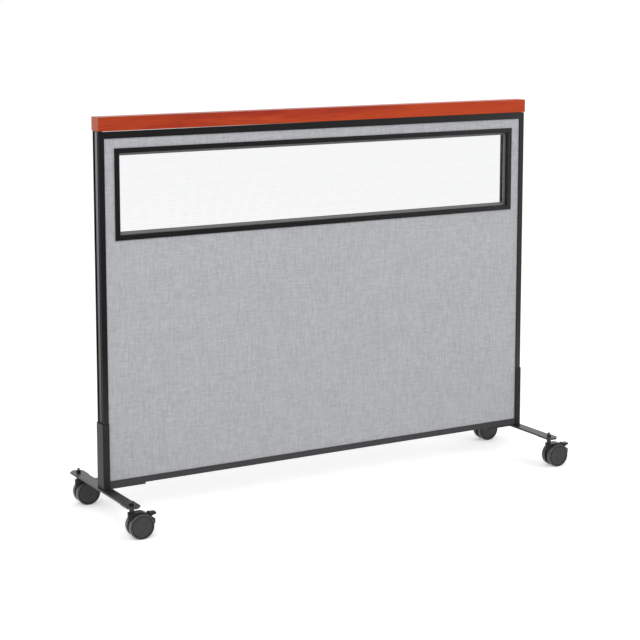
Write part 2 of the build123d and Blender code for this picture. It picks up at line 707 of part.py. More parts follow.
def caster_stem():
    """Turned stem: bearing shaft, collar under the foot, and thread above it."""
    shaft_end = HOOD_TOP - STEM_DEPTH + COLLAR_CLEARANCE
    tip = FOOT_TOP + STEM_ABOVE_FOOT
    collar_bottom = HOOD_TOP + COLLAR_CLEARANCE
    with BuildPart() as stem:
        with BuildSketch(Plane.XZ):
            with BuildLine():
                Polyline(
                    (0, shaft_end),
                    (STEM_RADIUS, shaft_end),
                    (STEM_RADIUS, collar_bottom),
                    (STEM_COLLAR, collar_bottom),
                    (STEM_COLLAR, FOOT_BOTTOM),
                    (STEM_RADIUS, FOOT_BOTTOM),
                    (STEM_RADIUS, tip - STEM_CHAMFER),
                    (STEM_RADIUS - STEM_CHAMFER, tip),
                    (0, tip),
                    close=True,
                )
            make_face()
        revolve(axis=Axis.Z)
    return stem


def caster_axle():
    """Axle through the web, ending inside both wheels' hubs."""
    length = 2 * (WHEEL_OUTSIDE - WHEEL_DISC - AXLE_END_PLAY)
    with BuildPart() as axle:
        with Locations(AXLE):
            Cylinder(AXLE_RADIUS, length, rotation=(90, 0, 0))
    return axle


def caster_wheel(side):
    """Wheel with a closed outer disc, open and ribbed towards the hood's web."""
    inside = WHEEL_SPACING / 2
    disc_inside = WHEEL_OUTSIDE - WHEEL_DISC
    bore = AXLE_RADIUS + RUNNING_CLEARANCE
    rim_inside = WHEEL_RADIUS - WHEEL_RIM
    groove_floor = WHEEL_OUTSIDE - WHEEL_GROOVE_DEPTH
    half_section = [
        (0, disc_inside),
        (bore, disc_inside),
        (bore, inside),
        (WHEEL_HUB, inside),
        (WHEEL_HUB, disc_inside),
        (rim_inside, disc_inside),
        (rim_inside, inside),
        (WHEEL_RADIUS - TREAD_CHAMFER, inside),
        (WHEEL_RADIUS, inside + TREAD_CHAMFER),
        (WHEEL_RADIUS, WHEEL_OUTSIDE - WHEEL_BEVEL),
        (WHEEL_RADIUS - WHEEL_BEVEL, WHEEL_OUTSIDE),
        (WHEEL_GROOVE_RADIUS + WHEEL_GROOVE_WIDTH, WHEEL_OUTSIDE),
        (WHEEL_GROOVE_RADIUS + WHEEL_GROOVE_WIDTH, groove_floor),
        (WHEEL_GROOVE_RADIUS, groove_floor),
        (WHEEL_GROOVE_RADIUS, WHEEL_OUTSIDE),
        (0, WHEEL_OUTSIDE),
    ]
    rib_start = inside + WHEEL_RIB_SETBACK
    rib_length = rim_inside - WHEEL_HUB + 2 * WHEEL_RIB_ROOT
    with BuildPart() as wheel:
        with BuildSketch(Plane(origin=AXLE, x_dir=(1, 0, 0), z_dir=(0, 0, 1))):
            with BuildLine():
                Polyline(*[(radius, side * reach) for radius, reach in half_section], close=True)
            make_face()
        revolve(axis=Axis(AXLE, (0, 1, 0)))
        rib_plane = Plane(
            origin=AXLE + Vector(0, side * rib_start, 0), x_dir=(1, 0, 0), z_dir=(0, side, 0)
        )
        with BuildSketch(rib_plane):
            with PolarLocations((rim_inside + WHEEL_HUB) / 2, WHEEL_RIBS):
                Rectangle(rib_length, WHEEL_RIB)
        extrude(amount=disc_inside - rib_start)
    return wheel


def brake_lever():
    """Lever with a barrel between the hood's ears and two shoes above the treads."""
    tip = polar(PIVOT_2D, LEVER_REACH - LEVER_TIP / 2, LEVER_RISE)
    tip_end = tip[0] + LEVER_TIP / 2
    shoe_tip = polar(PIVOT_2D, SHOE_REACH, PIVOT_ANGLE + 180 + SHOE_ANGLE)
    tab_start = PIVOT_2D[0]
    pin_reach = LEVER_BARREL_WIDTH / 2 + LEVER_GAP + EAR_THICKNESS
    with BuildPart() as lever:
        with BuildSketch(Plane.XZ):
            with Locations(PIVOT_2D):
                Circle(LEVER_BARREL)
            with Locations(tip):
                Circle(LEVER_TIP / 2)
            make_hull()
        extrude(amount=LEVER_WIDTH / 2, both=True)
        with BuildSketch(Plane.XY):
            with Locations(((tab_start + tip_end) / 2, 0)):
                Rectangle(tip_end - tab_start, LEVER_WIDTH)
            fillet(vertices().group_by(Axis.X)[-1], LEVER_CORNER)
        extrude(amount=FOOT_BOTTOM, mode=Mode.INTERSECT)
        with Locations(PIVOT):
            Cylinder(LEVER_BARREL, LEVER_BARREL_WIDTH, rotation=(90, 0, 0))
            Cylinder(PIVOT_PIN, 2 * (pin_reach - RUNNING_CLEARANCE), rotation=(90, 0, 0))
        with BuildSketch(Plane.XZ.offset(LEVER_BARREL_WIDTH / 2 - SHOE_WIDTH)):
            with Locations(PIVOT_2D, shoe_tip):
                Circle(SHOE_RADIUS)
            make_hull()
        shoe = extrude(amount=SHOE_WIDTH)
        mirror(shoe, about=Plane.XZ)
    return lever


def caster_nuts(places):
    """Hex nuts on the stems, above the feet."""
    with BuildPart() as nuts:
        with BuildSketch(Plane.XY.offset(FOOT_TOP)):
            with Locations(*places):
                RegularPolygon(NUT_ACROSS_FLATS / 2, side_count=6, major_radius=False)
                Circle(STEM_RADIUS + THREAD_CLEARANCE, mode=Mode.SUBTRACT)
        extrude(amount=NUT_HEIGHT)
    return nuts


# ======== Build and write every piece ========

os.makedirs("parts", exist_ok=True)

for name, side in SIDES.items():
    save(stile(side), f"{name}_stile")
    save(end_strip(side), f"{name}_end_strip")
    save(leg_sleeve(side), f"{name}_leg_sleeve")
    save(foot(side), f"{name}_foot")

save(top_rail(), "top_rail")
save(bottom_rail(), "bottom_rail")
save(frame_screws(), "frame_screws")
save(foot_screws(), "foot_screws")
save(core_board(), "core_board")
save(window_pane(), "window_pane")
save(cap_carrier(), "cap_carrier")
save(carrier_screws(), "carrier_screws")
save(wood_cap(), "wood_cap")

for name, face in FACES.items():
    save(tack_board(face), f"{name}_tack_board")
    save(fabric(face), f"{name}_fabric")
    save(glazing_bead(face), f"{name}_glazing_bead")
    for edge, inward in INWARD.items():
        save(window_bar(face, inward), f"{name}_window_{edge}")

CASTERS = {
    "left_front": (-FOOT_X, -STEM_Y),
    "left_rear": (-FOOT_X, STEM_Y),
    "right_front": (FOOT_X, -STEM_Y),
    "right_rear": (FOOT_X, STEM_Y),
}
save(caster_nuts(CASTERS.values()), "caster_nuts")

CASTER_PIECES = {
    "stem": caster_stem(),
    "hood": caster_hood(),
    "axle": caster_axle(),
    "near_wheel": caster_wheel(FRONT),
    "far_wheel": caster_wheel(REAR),
    "brake_lever": brake_lever(),
}
for place, (x, y) in CASTERS.items():
    for piece_name, piece in CASTER_PIECES.items():
        save_copy(piece, f"{place}_{piece_name}", Location((x, y, 0), (0, 0, CASTER_HEADING)))
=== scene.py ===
"""Looks of the partition wall: finishes, stretched fabric, threaded stems, floor, light and camera.

Everything is in metres in the CAD frame: X along the wall, Y through it with the front at -Y, Z up.
"""

import json
import math

import bmesh
import bpy
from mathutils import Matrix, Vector, noise

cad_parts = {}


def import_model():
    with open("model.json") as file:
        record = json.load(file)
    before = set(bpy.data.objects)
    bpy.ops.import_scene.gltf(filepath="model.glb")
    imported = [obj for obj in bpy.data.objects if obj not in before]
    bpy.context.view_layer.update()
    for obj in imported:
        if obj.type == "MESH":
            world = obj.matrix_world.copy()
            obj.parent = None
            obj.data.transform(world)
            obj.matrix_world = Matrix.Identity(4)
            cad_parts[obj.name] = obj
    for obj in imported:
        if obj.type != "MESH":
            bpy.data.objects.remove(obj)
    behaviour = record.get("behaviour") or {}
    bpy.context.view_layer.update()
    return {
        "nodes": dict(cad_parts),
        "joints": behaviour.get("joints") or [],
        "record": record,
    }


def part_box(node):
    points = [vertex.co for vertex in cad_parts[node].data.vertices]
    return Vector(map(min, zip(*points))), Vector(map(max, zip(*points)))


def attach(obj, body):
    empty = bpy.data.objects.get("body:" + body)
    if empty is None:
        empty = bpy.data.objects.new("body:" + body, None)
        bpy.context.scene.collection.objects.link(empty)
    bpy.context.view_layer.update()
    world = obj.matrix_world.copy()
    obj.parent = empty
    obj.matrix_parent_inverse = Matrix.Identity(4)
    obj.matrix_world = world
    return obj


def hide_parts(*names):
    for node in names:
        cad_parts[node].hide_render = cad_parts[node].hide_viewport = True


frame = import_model()

MM = 0.001
FACES = {"front": -1, "rear": 1}
CASTERS = ("left_front", "left_rear", "right_front", "right_rear")
DISC_RADIUS = 30 * MM        # wheel disc inside its ring groove
GROOVE_SHADE_WIDTH = 2.8 * MM        # width of the painted shade, a black ring round that disc

# ======== Materials ========


class Finish:
    """A material round one Principled shader, with short ways to add and link nodes."""

    def __init__(self, name, **sockets):
        self.material = bpy.data.materials.new(name)
        self.material.use_nodes = True
        self.tree = self.material.node_tree
        self.shader = self.tree.nodes["Principled BSDF"]
        self.place = self.tree.nodes.new("ShaderNodeTexCoord").outputs["Object"]
        for socket, value in sockets.items():
            self.shader.inputs[socket.replace("_", " ")].default_value = value

    def node(self, kind, settings=(), **inputs):
        """Add a node, set its properties, and set or link its inputs by name."""
        made = self.tree.nodes.new("ShaderNode" + kind)
        for prop, value in dict(settings).items():
            setattr(made, prop, value)
        for key, value in inputs.items():
            socket = made.inputs[int(key[1:]) if key[1:].isdigit() else key.replace("_", " ")]
            self.feed(socket, value)
        return made

    def feed(self, socket, value):
        if isinstance(value, bpy.types.NodeSocket):
            self.tree.links.new(value, socket)
        else:
            socket.default_value = value

    def math(self, operation, first, second=0.5, clamp=False):
        made = self.node("Math", {"operation": operation, "use_clamp": clamp}, i0=first, i1=second)
        return made.outputs[0]

    def along(self, axis):
        """The object's coordinate along one axis, in metres."""
        return self.node("SeparateXYZ", Vector=self.place).outputs[axis]

    def stretched(self, scale):
        """Object coordinates multiplied along each axis."""
        return self.node("Mapping", Vector=self.place, Scale=scale).outputs[0]

    def noise(self, scale, stretch=(1, 1, 1), detail=2.0, roughness=0.5, offset=0.0):
        made = self.node(
            "TexNoise",
            {"noise_dimensions": "4D"},
            Vector=self.stretched(stretch),
            W=offset,
            Scale=scale,
            Detail=detail,
            Roughness=roughness,
        )
        return made.outputs[0]

    def ramp(self, factor, *stops):
        """Colour ramp through (position, colour) stops."""
        made = self.node("ValToRGB", Fac=factor)
        elements = made.color_ramp.elements
        while len(elements) < len(stops):
            elements.new(0.5)
        for element, (position, colour) in zip(elements, stops):
            element.position = position
            element.color = (*colour, 1)
        return made.outputs[0]

    def span(self, value, low, high, new_low, new_high):
        """Map a value from one range to another."""
        made = self.node("MapRange", Value=value, i1=low, i2=high, i3=new_low, i4=new_high)
        return made.outputs[0]

    def mix(self, factor, first, second):
        made = self.node("Mix", {"data_type": "RGBA"})
        self.feed(made.inputs[0], factor)
        self.feed(made.inputs[6], first)
        self.feed(made.inputs[7], second)
        return made.outputs[2]

    def colour(self, value):
        self.feed(self.shader.inputs["Base Color"], value)

    def roughness(self, value):
        self.feed(self.shader.inputs["Roughness"], value)

    def relief(self, height, depth, edge=0.0):
        """Bump of `depth` metres, over edges rounded to a radius of `edge`."""
        bump = self.node("Bump", Height=height, Distance=depth, Strength=1.0)
        if edge:
            self.feed(bump.inputs["Normal"], self.node("Bevel", Radius=edge).outputs[0])
        self.feed(self.shader.inputs["Normal"], bump.outputs[0])

    def edge_wear_and_glint(self, colour, edge_colour, radius, amount):
        """Colour that turns to another where the surface bends sharply: wear on the coats and
        plastics, and on plated metal a painted highlight as well.
        """
        bevel = self.node("Bevel", {"samples": 6}, Radius=radius).outputs[0]
        normal = self.node("NewGeometry").outputs["Normal"]
        facing = self.node("VectorMath", {"operation": "DOT_PRODUCT"}, i0=bevel, i1=normal)
        bend = self.span(facing.outputs["Value"], 0.99, 0.8, 0.0, amount)
        patches = self.span(self.noise(90, detail=4), 0.35, 0.65, 0.0, 1.0)
        return self.mix(self.math("MULTIPLY", bend, patches), colour, (*edge_colour, 1))


def powder_coat(name, dark, light, grain, depth, roughness, specular, floor_lit=False):
    """Black powder coat: a fine pebbled film, lighter where edges are rubbed.

    One lit from below has painted light: greyer low down, standing in for the floor's reflection,
    and a little towards the right end.
    """
    edge = 0.5 * MM
    f = Finish(name, Specular_IOR_Level=specular)
    pebbles = f.noise(grain, detail=2.0)
    clouds = f.noise(7, detail=3.0, offset=2.0)
    film = f.ramp(clouds, (0.3, dark), (0.7, light))
    if floor_lit:
        # painted light: the coat turns grey towards the floor and the right end, standing in for
        # reflected floor light
        brightest_at, light_top = 0.10, 0.62
        half_length = 0.77
        low = f.math("POWER", f.span(f.along("Z"), brightest_at, light_top, 1.0, 0.0), 2.0)
        right = f.math("POWER", f.span(f.along("X"), -half_length, half_length, 0.0, 1.0), 3.0)
        floor_light = f.math("ADD", low, f.math("MULTIPLY", right, 0.45), clamp=True)
        film = f.mix(floor_light, film, (0.056, 0.056, 0.058, 1))
    f.colour(f.edge_wear_and_glint(film, [3 * c + 0.01 for c in light], edge, 0.6))
    f.roughness(f.span(pebbles, 0.3, 0.7, roughness - 0.06, roughness + 0.06))
    f.relief(pebbles, depth, edge)
    return f.material


def moulded_plastic(name, dark, light, roughness, specular):
    """Moulded plastic with a spark-eroded grain and faint flow marks."""
    edge = 0.4 * MM
    f = Finish(name, Specular_IOR_Level=specular)
    grain = f.noise(2600, detail=1.0)
    flow = f.noise(35, (1, 1, 3), detail=3.0, offset=5.0)
    base = f.ramp(flow, (0.3, dark), (0.7, light))
    f.colour(f.edge_wear_and_glint(base, [2 * c + 0.02 for c in light], edge, 0.5))
    f.roughness(f.span(flow, 0.3, 0.7, roughness - 0.05, roughness + 0.07))
    f.relief(grain, 0.03 * MM, edge)
    return f.material


def wheel_plastic(name, centre, axle):
    """One wheel: grey disc, painted shade as a black ring round its ring groove, and a glossier
    rounded rim with a lighter painted highlight.
    """
    f = Finish(name, Specular_IOR_Level=0.3)
    arm = f.node("VectorMath", {"operation": "SUBTRACT"}, i0=f.place, i1=centre).outputs[0]
    moment = f.node("VectorMath", {"operation": "CROSS_PRODUCT"}, i0=arm, i1=axle).outputs[0]
    radius = f.node("VectorMath", {"operation": "LENGTH"}, i0=moment).outputs["Value"]
    flow = f.noise(60, detail=3.0, offset=5.0)
    disc = f.ramp(flow, (0.3, (0.034,) * 3), (0.7, (0.046, 0.046, 0.048)))
    # painted shade: black in and just past the ring groove
    groove_shade = f.span(radius, DISC_RADIUS, DISC_RADIUS + 0.5 * MM, 0.0, 1.0)
    band_end = DISC_RADIUS + GROOVE_SHADE_WIDTH
    rim = f.span(radius, band_end, band_end + 1.0 * MM, 0.0, 1.0)
    face = f.mix(groove_shade, disc, (0.003, 0.003, 0.003, 1))
    # painted highlight: a lighter grey on the rounded rim
    f.colour(f.mix(rim, face, (0.062, 0.062, 0.063, 1)))
    f.roughness(f.span(rim, 0.0, 1.0, 0.42, 0.22))
    f.relief(f.noise(2600, detail=1.0), 0.03 * MM, 0.5 * MM)
    return f.material


def plated_metal(name, colour, roughness, edge_glint):
    """Plated steel: cloudy film, fine scratches, and bright steel painted on its sharp edges, a
    painted highlight with some rubbed wear.
    """
    f = Finish(name, Metallic=1.0)
    scratches = f.noise(400, detail=4.0)
    clouds = f.noise(25, detail=2.0, offset=3.0)
    film = f.ramp(clouds, (0.35, [0.72 * c for c in colour]), (0.65, colour))
    # painted highlight: bright steel colour on the sharp edges
    f.colour(f.edge_wear_and_glint(film, (0.72, 0.73, 0.75), 0.5 * MM, edge_glint))
    f.roughness(f.span(scratches, 0.3, 0.7, roughness - 0.08, roughness + 0.08))
    f.relief(scratches, 0.01 * MM, 0.2 * MM)
    return f.material


def end_strip_grey():
    """Grey strip of the end channel, with painted light: brighter high up and darker towards the
    floor.
    """
    f = Finish("strip_grey", Metallic=1.0)
    lines = f.noise(400, (1, 1, 0.02), detail=4.0)
    strip_low, strip_top = 0.3, 1.16
    # painted light: the strip's colour brightens with height
    height = f.span(f.along("Z"), strip_low, strip_top, 0.0, 1.0)
    painted_brightness = f.math("ADD", height, f.span(lines, 0.3, 0.7, -0.08, 0.08))
    metal = f.ramp(
        painted_brightness,
        (0.0, (0.050, 0.051, 0.053)),
        (0.5, (0.125, 0.127, 0.131)),
        (1.0, (0.20, 0.204, 0.21)),
    )
    f.colour(metal)
    f.roughness(f.span(lines, 0.3, 0.7, 0.36, 0.50))
    f.relief(lines, 0.01 * MM, 0.2 * MM)
    return f.material


def mill_aluminium():
    """Mill-finish aluminium with a painted highlight: bright at the wall's left end, darkening to
    near black from its middle on.
    """
    f = Finish("mill_aluminium", Metallic=1.0)
    lines = f.noise(400, (0.02, 1, 1), detail=4.0)
    # painted highlight along the carrier's edge, fading from the left end
    bright_to, dark_from = -0.70, 0.05
    fading = f.span(f.along("X"), bright_to, dark_from, 0.0, 1.0)
    highlight_fade = f.math("ADD", fading, f.span(lines, 0.3, 0.7, -0.1, 0.1))
    metal = f.ramp(
        highlight_fade,
        (0.15, (0.72, 0.70, 0.69)),
        (0.55, (0.30, 0.28, 0.27)),
        (0.90, (0.03, 0.028, 0.027)),
    )
    f.colour(metal)
    f.roughness(f.span(lines, 0.3, 0.7, 0.28, 0.42))
    f.relief(lines, 0.01 * MM, 0.2 * MM)
    return f.material


def cherry_laminate():
    """Red cherry wood-grain laminate: long grain along the cap, fine dark pores, satin film.

    It is lighter towards the right end.
    """
    f = Finish("cherry_laminate", Specular_IOR_Level=0.05, Coat_Weight=0.25, Coat_Roughness=0.22)
    bands = f.noise(30, (0.05, 1, 1), detail=6.0, roughness=0.65)
    figure = f.noise(7, (0.4, 1, 1), detail=3.0, offset=4.0)
    pores = f.noise(420, (0.03, 1, 1), detail=2.0, offset=9.0)
    base = f.ramp(
        bands,
        (0.36, (0.27, 0.016, 0.005)),
        (0.50, (0.39, 0.030, 0.008)),
        (0.64, (0.50, 0.056, 0.009)),
    )
    warm = f.mix(f.span(figure, 0.42, 0.60, 0.0, 0.6), base, (0.50, 0.060, 0.007, 1))
    dark = f.span(pores, 0.54, 0.66, 0.0, 0.45)
    grained = f.mix(dark, warm, (0.15, 0.009, 0.003, 1))
    lighter_from, lightest_from = -0.05, 0.30
    lighter = f.span(f.along("X"), lighter_from, lightest_from, 0.0, 0.35)
    grained = f.mix(lighter, grained, (0.60, 0.065, 0.009, 1))
    normal = f.node("NewGeometry").outputs["True Normal"]
    endwards = f.node("SeparateXYZ", Vector=normal).outputs["X"]
    sawn = f.math("GREATER_THAN", f.math("ABSOLUTE", endwards), 0.7)
    f.colour(f.mix(f.math("MULTIPLY", sawn, 0.30), grained, (0.58, 0.24, 0.14, 1)))
    f.roughness(f.span(bands, 0.3, 0.7, 0.32, 0.44))
    f.relief(pores, -0.02 * MM, 0.9 * MM)
    return f.material


def panel_fabric():
    """Heathered grey panel cloth: a plain weave of uneven yarns."""
    f = Finish(
        "panel_fabric",
        Roughness=0.95,
        Specular_IOR_Level=0.12,
        Sheen_Weight=0.15,
        Sheen_Roughness=0.5,
    )
    yarn = 1.15 * MM             # from one yarn to the next
    u = f.math("DIVIDE", f.along("X"), yarn)
    v = f.math("DIVIDE", f.along("Z"), yarn)
    across = f.math("ABSOLUTE", f.math("SINE", f.math("MULTIPLY", u, math.pi)))
    upward = f.math("ABSOLUTE", f.math("SINE", f.math("MULTIPLY", v, math.pi)))
    cells = f.math("ADD", f.math("FLOOR", u), f.math("FLOOR", v))
    over = f.math("GREATER_THAN", f.math("PINGPONG", cells, 1.0), 0.5)
    warp = f.math("MULTIPLY", across, f.span(upward, 0, 1, 0.55, 1.0))
    weft = f.math("MULTIPLY", upward, f.span(across, 0, 1, 0.55, 1.0))
    height = f.node("Mix", {"data_type": "FLOAT"})
    f.feed(height.inputs[0], over)
    f.feed(height.inputs[2], warp)
    f.feed(height.inputs[3], weft)
    slub_up = f.noise(300, (1, 1, 0.11), detail=2.0, offset=1.0)
    slub_across = f.noise(300, (0.11, 1, 1), detail=2.0, offset=6.0)
    blotches = f.noise(190, detail=3.0, offset=8.0)
    clouds = f.noise(9, detail=2.0, offset=3.0)
    tone = f.math("ADD", f.math("MULTIPLY", slub_up, 0.40), f.math("MULTIPLY", slub_across, 0.34))
    tone = f.math("ADD", tone, f.math("MULTIPLY", blotches, 0.22))
    tone = f.math("ADD", tone, f.math("MULTIPLY", clouds, 0.02))
    heather = f.ramp(
        tone,
        (0.365, (0.418, 0.428, 0.454)),
        (0.500, (0.514, 0.521, 0.547)),
        (0.635, (0.610, 0.614, 0.636)),
    )
    # painted shade: darker grey where the weave lies low between the yarns
    weave_shade = f.span(height.outputs[0], 0.1, 0.9, 0.25, 0.0)
    f.colour(f.mix(weave_shade, heather, (0.19, 0.195, 0.21, 1)))
    f.relief(height.outputs[0], 0.18 * MM)
    return f.material


def clear_sheet():
    """Clear twin-wall plastic, with faint extrusion lines along the flutes."""
    f = Finish("clear_sheet", Transmission_Weight=1.0, IOR=1.1, Specular_IOR_Level=0.5)
    lines = f.noise(90, (0.004, 1, 1), detail=1.0)
    f.colour(f.ramp(lines, (0.35, (0.986, 0.991, 1.0)), (0.65, (1.0, 1.0, 1.0))))
    f.roughness(0.0)
    return f.material


def fibreboard(name, dark, light):
    """Pressed fibre board, seen only where the wall is taken apart."""
    f = Finish(name, Roughness=0.9)
    fibres = f.noise(900, (0.3, 1, 1), detail=4.0)
    f.colour(f.ramp(fibres, (0.35, dark), (0.65, light)))
    f.relief(fibres, 0.15 * MM)
    return f.material


BLACK = powder_coat(
    "frame_black", (0.0022,) * 3, (0.0042, 0.0042, 0.0046), 900, 0.02 * MM, 0.40, 0.13, floor_lit=True
)
SHEET_TONES = (0.006,) * 3, (0.016, 0.016, 0.0165)    # dark and light, of the bent sheets
FOOT_BLACK = powder_coat("foot_black", *SHEET_TONES, 600, 0.12 * MM, 0.34, 0.55)
SLEEVE_BLACK = powder_coat("sleeve_black", *SHEET_TONES, 600, 0.10 * MM, 0.40, 0.22)
HOOD_BLACK = moulded_plastic("hood_black", (0.004,) * 3, (0.009, 0.009, 0.0095), 0.26, 0.25)
BEAD_GREY = moulded_plastic("bead_grey", (0.150,) * 3, (0.185, 0.185, 0.188), 0.45, 0.3)
STRIP_GREY = end_strip_grey()
ZINC = plated_metal("zinc_plate", (0.62, 0.63, 0.65), 0.36, 0.3)
# black zinc with a strong painted highlight along its sharp edges
BLACK_ZINC = plated_metal("black_zinc", (0.045, 0.045, 0.048), 0.26, 0.9)
CARRIER_ALUMINIUM = mill_aluminium()
CHERRY = cherry_laminate()
FABRIC = panel_fabric()
CLEAR = clear_sheet()
HARDBOARD = fibreboard("hardboard", (0.16, 0.10, 0.055), (0.24, 0.16, 0.095))
SOFTBOARD = fibreboard("tack_board", (0.30, 0.25, 0.19), (0.42, 0.36, 0.28))

SLOT_FINISH = {
    "frame_black": BLACK,
    "strip_grey": STRIP_GREY,
    "sheet_black": FOOT_BLACK,
    "fasteners": ZINC,
    "stem_steel": BLACK_ZINC,
    "core": HARDBOARD,
    "board": SOFTBOARD,
    "fabric_grey": FABRIC,
    "bead_grey": BEAD_GREY,
    "pane_clear": CLEAR,
    "carrier": CARRIER_ALUMINIUM,
    "cap_cherry": CHERRY,
    "caster_black": HOOD_BLACK,
}


def finish_cad_nodes():
    """Give each CAD node its material slot's finish, and each wheel one centred on its axle."""
    axles = {joint["name"]: joint for joint in frame["joints"]}
    for row in frame["record"]["subparts"]:
        node = row["node"]
        mesh = frame["nodes"][node].data
        mesh.materials.clear()
        if row["material_slot"] == "wheel_grey":
            roll = axles[node.replace("_wheel", "_roll")]
            mesh.materials.append(wheel_plastic(node, roll["pos_m"], roll["axis"]))
        elif node.endswith("leg_sleeve"):
            mesh.materials.append(SLEEVE_BLACK)
        else:
            mesh.materials.append(SLOT_FINISH[row["material_slot"]])


# ======== Stretched fabric ========

CLOTH = 0.8 * MM             # thickness
TURN = 6.8 * MM              # depth of the turned edge, cloth included
FOLD_RADIUS = 1.2 * MM
RIPPLE = 0.10 * MM           # unevenness of the stretched cloth
RIPPLES_PER_METRE = 9
GRID = 12 * MM               # spacing of the cloth's mesh
WINDOW_LAP = 12 * MM         # cloth's window edge inside the outline of the window's frame
SAME = 1e-6                  # places nearer than this are one place


def stops(low, high, fixed):
    """Even stops from low to high that include the fixed ones."""
    marks = sorted({low, high, *fixed})
    found = []
    for a, b in zip(marks, marks[1:]):
        count = max(1, round((b - a) / GRID))
        found += [a + (b - a) * i / count for i in range(count)]
    return found + [high]


def fabric_sheet(side_name, side):
    """Cloth over one face of the panel, turned back round its outer edges."""
    node = f"{side_name}_fabric"
    low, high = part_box(node)
    bottom_low, bottom_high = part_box(f"{side_name}_window_bottom")
    window_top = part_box(f"{side_name}_window_top")[1].z
    hole = (
        bottom_low.x + WINDOW_LAP,
        bottom_high.x - WINDOW_LAP,
        bottom_low.z + WINDOW_LAP,
        window_top - WINDOW_LAP,
    )
    face_y = low.y if side < 0 else high.y
    xs = stops(low.x, high.x, hole[:2])
    zs = stops(low.z, high.z, hole[2:])
    shell = bmesh.new()
    grid = [[shell.verts.new((x, face_y, z)) for z in zs] for x in xs]
    for i in range(len(xs) - 1):
        for j in range(len(zs) - 1):
            middle_x, middle_z = (xs[i] + xs[i + 1]) / 2, (zs[j] + zs[j + 1]) / 2
            if hole[0] < middle_x < hole[1] and hole[2] < middle_z < hole[3]:
                continue
            groove_shade = [grid[i][j], grid[i + 1][j], grid[i + 1][j + 1], grid[i][j + 1]]
            shell.faces.new(groove_shade if side < 0 else groove_shade[::-1])
    loose = [v for v in shell.verts if not v.link_faces]
    bmesh.ops.delete(shell, geom=loose, context="VERTS")

    def at_end(vertex):
        return min(abs(vertex.co.x - low.x), abs(vertex.co.x - high.x)) < SAME

    def at_edge(vertex):
        return min(abs(vertex.co.z - low.z), abs(vertex.co.z - high.z)) < SAME

    def on_rim(edge):
        return edge.is_boundary and all(at_end(v) or at_edge(v) for v in edge.verts)

    rim = [e for e in shell.edges if on_rim(e)]
    turned = bmesh.ops.extrude_edge_only(shell, edges=rim)["geom"]
    back = [g for g in turned if isinstance(g, bmesh.types.BMVert)]
    bmesh.ops.translate(shell, verts=back, vec=(0, -side * TURN, 0))
    is_back = set(back)
    corners = [
        e
        for e in shell.edges
        if len(is_back.intersection(e.verts)) == 1 and at_end(e.verts[0]) and at_edge(e.verts[0])
    ]
    folds = [e for e in rim if e.is_valid] + corners
    bmesh.ops.bevel(
        shell,
        geom=folds,
        offset=FOLD_RADIUS,
        segments=3,
        profile=0.5,
        affect="EDGES",
        clamp_overlap=True,
    )
    for v in shell.verts:
        if abs(v.co.y - face_y) < SAME:
            spot = Vector((v.co.x, side, v.co.z)) * RIPPLES_PER_METRE
            v.co.y -= side * RIPPLE * (0.5 + 0.5 * noise.noise(spot))
    bmesh.ops.recalc_face_normals(shell, faces=shell.faces)
    below_window = Vector((0, face_y, low.z + 0.3))
    flat = min(shell.faces, key=lambda face: (face.calc_center_median() - below_window).length)
    if flat.normal.y * side < 0:
        bmesh.ops.reverse_faces(shell, faces=shell.faces)
    mesh = bpy.data.meshes.new(f"{side_name}_cloth")
    shell.to_mesh(mesh)
    shell.free()
    mesh.materials.append(FABRIC)
    piece = bpy.data.objects.new(f"{side_name}_cloth", mesh)
    bpy.context.scene.collection.objects.link(piece)
    thick = piece.modifiers.new("thickness", "SOLIDIFY")
    thick.thickness = CLOTH
    thick.offset = -1            # inwards from the face
    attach(piece, "panel")
    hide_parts(node)


# ======== Threaded stems ========

SHAFT_RADIUS = 4.0 * MM
THREAD_PITCH = 1.25 * MM
THREAD_DEPTH = 0.55 * MM
TIP_CHAMFER = 0.8 * MM
COLLAR_GAP = 0.3 * MM        # collar above the hood
STEM_SIDES = 32
RINGS_PER_TURN = 8
SHARPEST_SMOOTH = 35         # degrees, the bend above which an edge stays sharp


